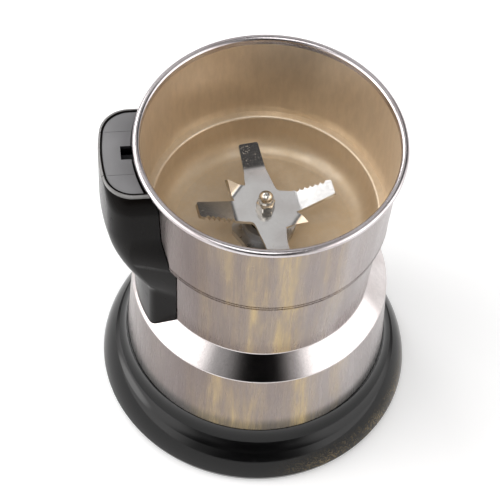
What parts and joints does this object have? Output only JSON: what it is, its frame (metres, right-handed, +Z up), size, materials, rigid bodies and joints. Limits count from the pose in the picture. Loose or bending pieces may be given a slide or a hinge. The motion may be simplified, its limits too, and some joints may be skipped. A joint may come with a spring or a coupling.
{
  "type": "electric grain mill",
  "caption": "Household grain and spice mill, lid off: steel grinding cup with a blade and dome nut, black handle with a lid interlock, steel motor housing and flared black base ring.",
  "frame": {"origin": "on the drive axis, on the resting plane under the rubber feet, which is the bottom centre of the bounding box", "axes": "+Z up along the drive axis, the handle points along -X, the cord grommet points along +Y"},
  "size_m": [0.125, 0.1249, 0.145],
  "materials": {
    "brushed_cup_steel": "vertical brushed stainless sheet",
    "polished_blade_steel": "polished stainless",
    "machined_steel": "turned and machined steel",
    "zinc_screw_steel": "zinc plated",
    "spring_steel": "drawn spring steel",
    "pressed_steel": "pressed plated sheet",
    "cast_bracket": "die cast, bead blasted",
    "gloss_black_plastic": "glossy moulded black",
    "black_plastic": "moulded black, fine texture",
    "grey_plastic": "satin moulded grey",
    "white_plastic": "off-white moulded",
    "fan_plastic": "glass filled nylon",
    "red_plastic": "moulded red",
    "black_rubber": "moulded rubber",
    "lamination_steel": "stacked oiled laminations",
    "enamelled_copper": "enamelled copper wire, varnished",
    "commutator_copper": "turned copper segments",
    "sintered_bronze": "oiled sintered bronze",
    "plain_brass": "stamped brass",
    "brown_resin": "moulded phenolic resin",
    "carbon": "pressed carbon",
    "tinned_metal": "tinned can",
    "yellow_box_plastic": "moulded yellow case",
    "wire_insulation": "extruded insulation"
  },
  "bodies": {
    "housing": {"grinding_cup": "brushed_cup_steel", "turret_nut": "machined_steel", "floor_gasket": "black_rubber", "shaft_seal": "black_rubber", "upper_bearing": "sintered_bronze", "motor_housing": "brushed_cup_steel", "base_ring": "gloss_black_plastic", "bottom_cover": "black_plastic", "base_screws": "zinc_screw_steel", "tie_screws": "zinc_screw_steel", "motor_mounts": "black_rubber", "rubber_feet": "black_rubber", "cord_grommet": "black_rubber", "handle_shell": "gloss_black_plastic", "handle_top_plate": "grey_plastic", "handle_top_caps": "grey_plastic", "handle_bracket": "pressed_steel", "handle_upper_screws": "zinc_screw_steel", "handle_lower_screws": "zinc_screw_steel", "interlock_spring": "spring_steel", "switch_body": "black_plastic", "switch_terminals": "plain_brass", "switch_bracket": "pressed_steel", "switch_screws": "zinc_screw_steel", "stator_core": "lamination_steel", "field_coils": "enamelled_copper", "upper_bracket": "cast_bracket", "lower_bracket": "cast_bracket", "motor_bolts": "zinc_screw_steel", "lower_bearing": "sintered_bronze", "brush_holders": "brown_resin", "carbon_brushes": "carbon", "brush_springs": "plain_brass", "brush_caps": "plain_brass", "thermal_fuse": "tinned_metal", "interference_capacitor": "yellow_box_plastic", "terminal_block": "white_plastic", "lead_wires": "wire_insulation"},
    "rotor": {"blade": "polished_blade_steel", "dome_nut": "polished_blade_steel", "blade_spacer": "machined_steel", "motor_shaft": "machined_steel", "armature_core": "lamination_steel", "armature_winding": "enamelled_copper", "commutator": "commutator_copper", "cooling_fan": "fan_plastic"},
    "push_rod": {"interlock_rod": "black_plastic"},
    "lever": {"switch_lever": "spring_steel"},
    "button": {"switch_button": "red_plastic"}
  },
  "joints": [
    {"name": "blade_spin", "type": "hinge", "parent": "housing", "child": "rotor", "pos_m": [0, 0, 0.1], "axis": [0, 0, 1], "continuous": true},
    {"name": "interlock_press", "type": "slide", "parent": "housing", "child": "push_rod", "axis": [0, 0, -1], "range_m": [0, 0.0022], "stiffness_N_per_m": 400, "springref_m": -0.002, "deforming": ["interlock_spring"]},
    {"name": "switch_lever_tilt", "type": "hinge", "parent": "housing", "child": "lever", "pos_m": [-0.045, -0.009, 0.0536], "axis": [-1, 0, 0], "range_deg": [0, 14.1], "stiffness_Nm_per_rad": 0.00001, "springref_deg": -57.3},
    {"name": "switch_button_press", "type": "slide", "parent": "housing", "child": "button", "axis": [0, 0, -1], "range_m": [0, 0.0012], "stiffness_N_per_m": 0.03, "springref_m": -0.005}
  ],
  "couplings": [
    {"joint": "switch_lever_tilt", "follows": "interlock_press", "rad_per_m": 111.11},
    {"joint": "switch_button_press", "follows": "interlock_press", "ratio": 0.5}
  ]
}
